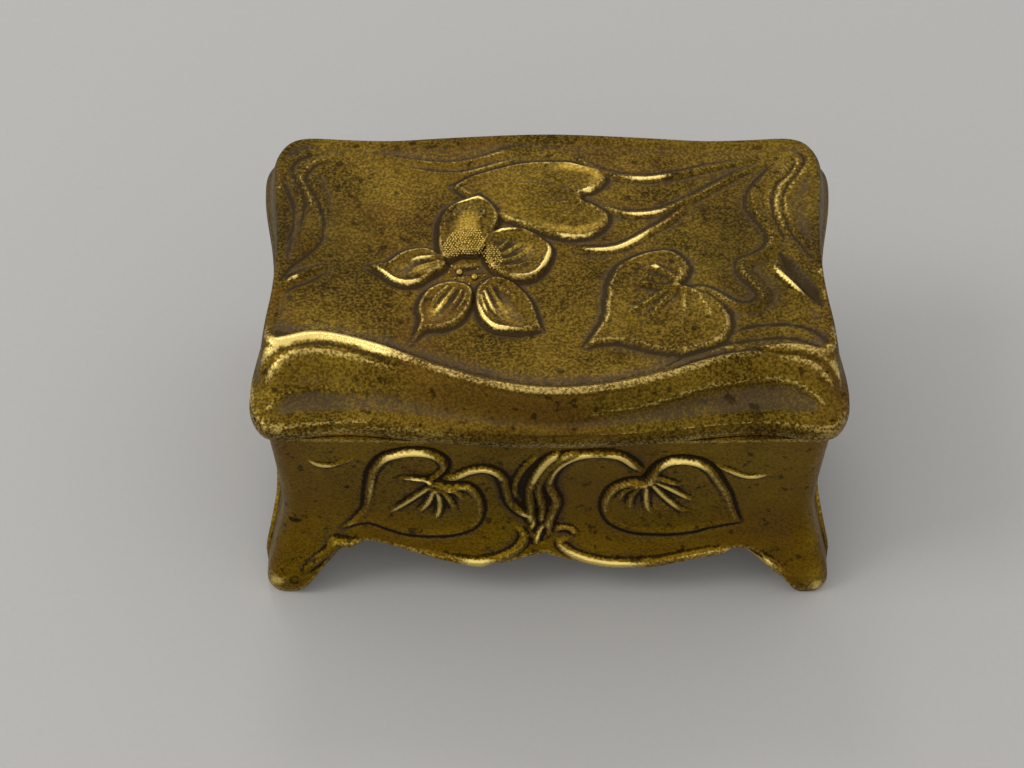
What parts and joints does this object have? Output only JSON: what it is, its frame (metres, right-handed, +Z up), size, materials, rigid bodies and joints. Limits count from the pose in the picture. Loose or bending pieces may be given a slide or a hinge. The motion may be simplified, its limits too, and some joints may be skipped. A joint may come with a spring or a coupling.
{
  "type": "stamp box",
  "caption": "Small cast brass box on four flared feet with a hinged, water-lily ornamented lid and an inner tray of three scooped wells for stamps.",
  "frame": {"origin": "centre of the footprint, on the plane that the four toes stand on", "axes": "+X along the front from left to right as seen from the front, -Y towards the front, +Z up"},
  "size_m": [0.09, 0.06, 0.046],
  "materials": {
    "gilt_brass": "antique gilt cast brass: dark olive-gold patina, pale worn high spots, near-black recesses",
    "plain_brass": "dull aged rolled brass",
    "tray_brass": "satin sheet brass, kept brighter by the closed lid",
    "hinge_brass": "dull drawn brass tube and wire"
  },
  "bodies": {
    "case": {"body_casting": "gilt_brass", "floor_plate": "plain_brass", "floor_screws": "plain_brass", "tray_pan": "tray_brass", "tray_end_left": "tray_brass", "tray_end_right": "tray_brass", "tray_divider_left": "tray_brass", "tray_divider_right": "tray_brass", "hinge_knuckle_body_left": "hinge_brass", "hinge_knuckle_body_centre": "hinge_brass", "hinge_knuckle_body_right": "hinge_brass", "hinge_pin": "hinge_brass"},
    "lid": {"lid_casting": "gilt_brass", "hinge_knuckle_lid_left": "hinge_brass", "hinge_knuckle_lid_right": "hinge_brass"}
  },
  "joints": [
    {"name": "lid_hinge", "type": "hinge", "parent": "case", "child": "lid", "pos_m": [0, 0.02845, 0.036], "axis": [-1, 0, 0], "range_deg": [0, 110]}
  ]
}
